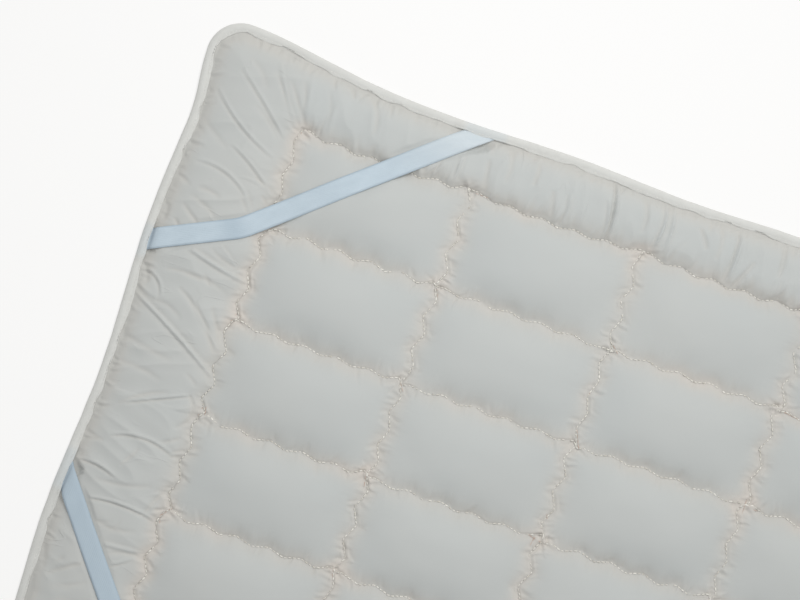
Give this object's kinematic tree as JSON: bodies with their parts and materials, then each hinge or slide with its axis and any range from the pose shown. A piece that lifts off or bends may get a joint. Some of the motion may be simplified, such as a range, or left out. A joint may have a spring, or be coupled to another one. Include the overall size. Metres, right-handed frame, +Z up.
{
  "type": "mattress pad",
  "caption": "Quilted mattress pad lying flat, strap side up, with padded rectangular cells, a bound edge with round corners and an elastic strap across each corner.",
  "frame": {"origin": "middle of the pad's footprint, on the surface that it lies on", "axes": "+X along the bed, +Y across it, +Z up out of the strap side"},
  "size_m": [2.0171, 0.9302, 0.0275],
  "materials": {
    "cover_fabric": "smooth fine-woven cover, soft sheen",
    "binding_tape": "woven binding tape, matt",
    "strap_elastic": "flat woven elastic, pale blue"
  },
  "bodies": {
    "root": {"quilted_pad": "cover_fabric", "edge_binding": "binding_tape", "strap_left_far": "strap_elastic", "strap_left_near": "strap_elastic", "strap_right_far": "strap_elastic", "strap_right_near": "strap_elastic"}
  },
  "joints": []
}
